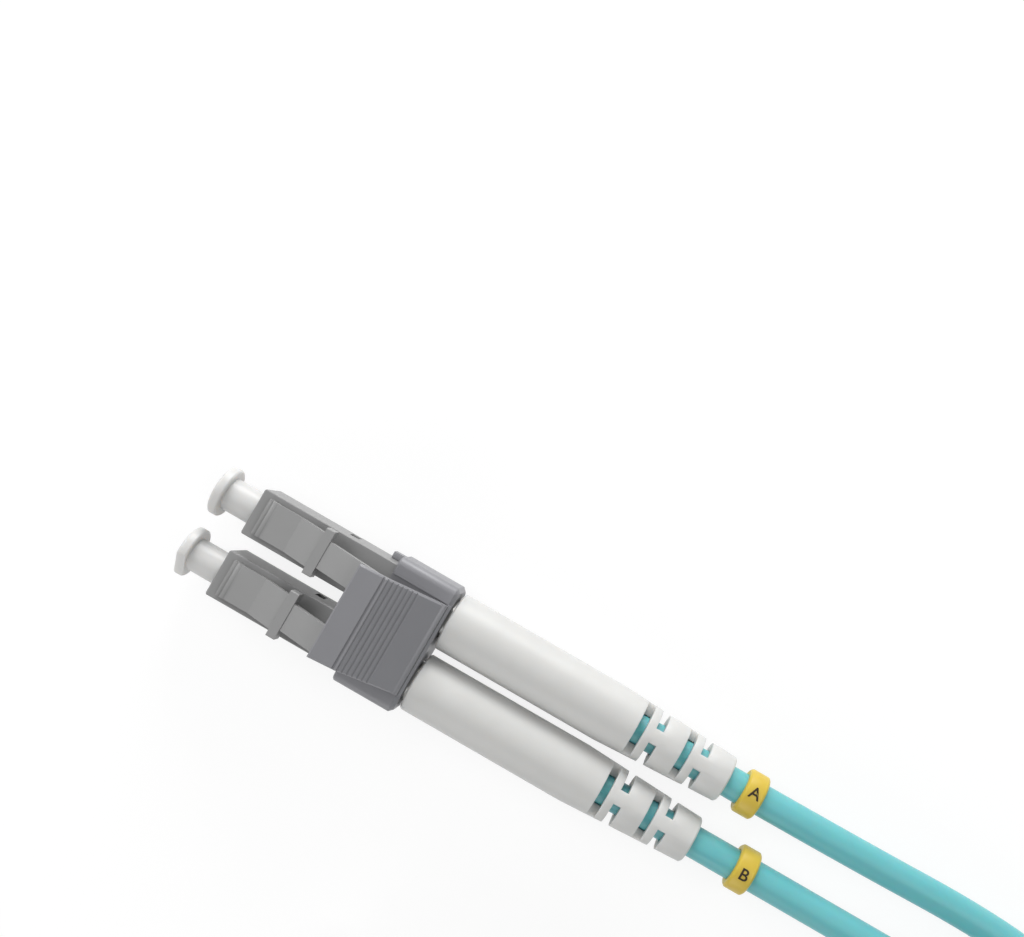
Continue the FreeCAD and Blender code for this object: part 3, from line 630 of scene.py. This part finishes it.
def floor():
    """A plain white floor that goes on past the view and keeps soft shadows."""
    material = bpy.data.materials.new("floor_white")
    material.use_nodes = True
    tree = material.node_tree
    tree.nodes.clear()
    output = tree.nodes.new("ShaderNodeOutputMaterial")
    diffuse = tree.nodes.new("ShaderNodeBsdfDiffuse")
    diffuse.inputs["Color"].default_value = (FLOOR_GREY, FLOOR_GREY, FLOOR_GREY, 1)
    glow = tree.nodes.new("ShaderNodeEmission")
    glow.inputs["Color"].default_value = WHITE
    glow.inputs["Strength"].default_value = FLOOR_GLOW
    mix = tree.nodes.new("ShaderNodeMixShader")
    rays = tree.nodes.new("ShaderNodeLightPath")
    seen = rays.outputs["Is Camera Ray"]
    for ray in ("Is Glossy Ray", "Is Transmission Ray"):
        total = tree.nodes.new("ShaderNodeMath")
        total.operation = "ADD"
        total.use_clamp = True
        tree.links.new(seen, total.inputs[0])
        tree.links.new(rays.outputs[ray], total.inputs[1])
        seen = total.outputs[0]
    share = tree.nodes.new("ShaderNodeMath")
    share.operation = "MULTIPLY"
    share.inputs[1].default_value = FLOOR_GLOW_SHARE
    tree.links.new(seen, share.inputs[0])
    tree.links.new(share.outputs[0], mix.inputs["Fac"])
    tree.links.new(diffuse.outputs["BSDF"], mix.inputs[1])
    tree.links.new(glow.outputs["Emission"], mix.inputs[2])
    tree.links.new(mix.outputs["Shader"], output.inputs["Surface"])
    data = bpy.data.meshes.new("floor")
    corners = [(x * FLOOR_HALF, y * FLOOR_HALF, 0) for x, y in ((-1, -1), (1, -1), (1, 1), (-1, 1))]
    data.from_pydata(corners, [], [(0, 1, 2, 3)])
    data.materials.append(material)
    plane = in_scene("floor", data)


def softbox(name, place, width, watts):
    """A square area light that looks at the object."""
    light = bpy.data.lights.new(name, "AREA")
    light.size = width
    light.energy = watts
    lamp = in_scene(name, light)
    lamp.location = place
    lamp.rotation_mode = "QUATERNION"
    lamp.rotation_quaternion = (Vector(LAMP_TARGET) - Vector(place)).to_track_quat("-Z", "Y")


def light_and_world():
    """A low soft light from the -Y side, two high ones and a weak fill.

    The world is white to the camera and a weaker light to everything else.
    """
    world = bpy.data.worlds.new("room")
    world.use_nodes = True
    tree = world.node_tree
    background = tree.nodes["Background"]
    background.inputs["Color"].default_value = WHITE
    rays = tree.nodes.new("ShaderNodeLightPath")
    strength = tree.nodes.new("ShaderNodeMapRange")
    strength.inputs["To Min"].default_value = WORLD_LIGHT
    strength.inputs["To Max"].default_value = 1.0
    tree.links.new(rays.outputs["Is Camera Ray"], strength.inputs["Value"])
    tree.links.new(strength.outputs["Result"], background.inputs["Strength"])
    bpy.context.scene.world = world
    for lamp in LAMPS:
        softbox(*lamp)


def camera():
    """Looks almost straight down on the latch side, with the connector running from upper left."""
    data = bpy.data.cameras.new("camera")
    data.lens = CAMERA_LENS
    data.sensor_width = CAMERA_SENSOR
    data.shift_x, data.shift_y = CAMERA_SHIFT
    data.clip_start, data.clip_end = CAMERA_CLIP
    eye = in_scene("camera", data)
    eye.location = CAMERA_PLACE
    eye.rotation_euler = [math.radians(angle) for angle in CAMERA_DEGREES]
    bpy.context.scene.camera = eye


# ---------------------------------------------------------------- assembly

camera()
floor()
light_and_world()
bpy.context.scene.view_settings.view_transform = "Standard"
paint_carried_nodes()
for own_channel in AXIS_Y:
    windowed_housing(own_channel)
    turned_boot(own_channel)
    spring_coil(own_channel)
mould_pieces()
letters = {channel: channel_letter(channel) for channel in AXIS_Y}
far_ferrules = {channel: far_ferrule(channel) for channel in AXIS_Y}
cord("cord_a", "a", "b", False, ("cable_a", "far_cable_b", "cable_coil"),
     [f"{part}_b" for part in FAR_PARTS]
     + ["far_clip", "far_trigger", strap().name, "marker_ring_a", letters["a"].name,
        far_ferrules["b"].name])
cord("cord_b", "b", "a", True, ("cable_b", "far_cable_a"),
     [f"{part}_a" for part in FAR_PARTS]
     + ["marker_ring_b", letters["b"].name, far_ferrules["a"].name])
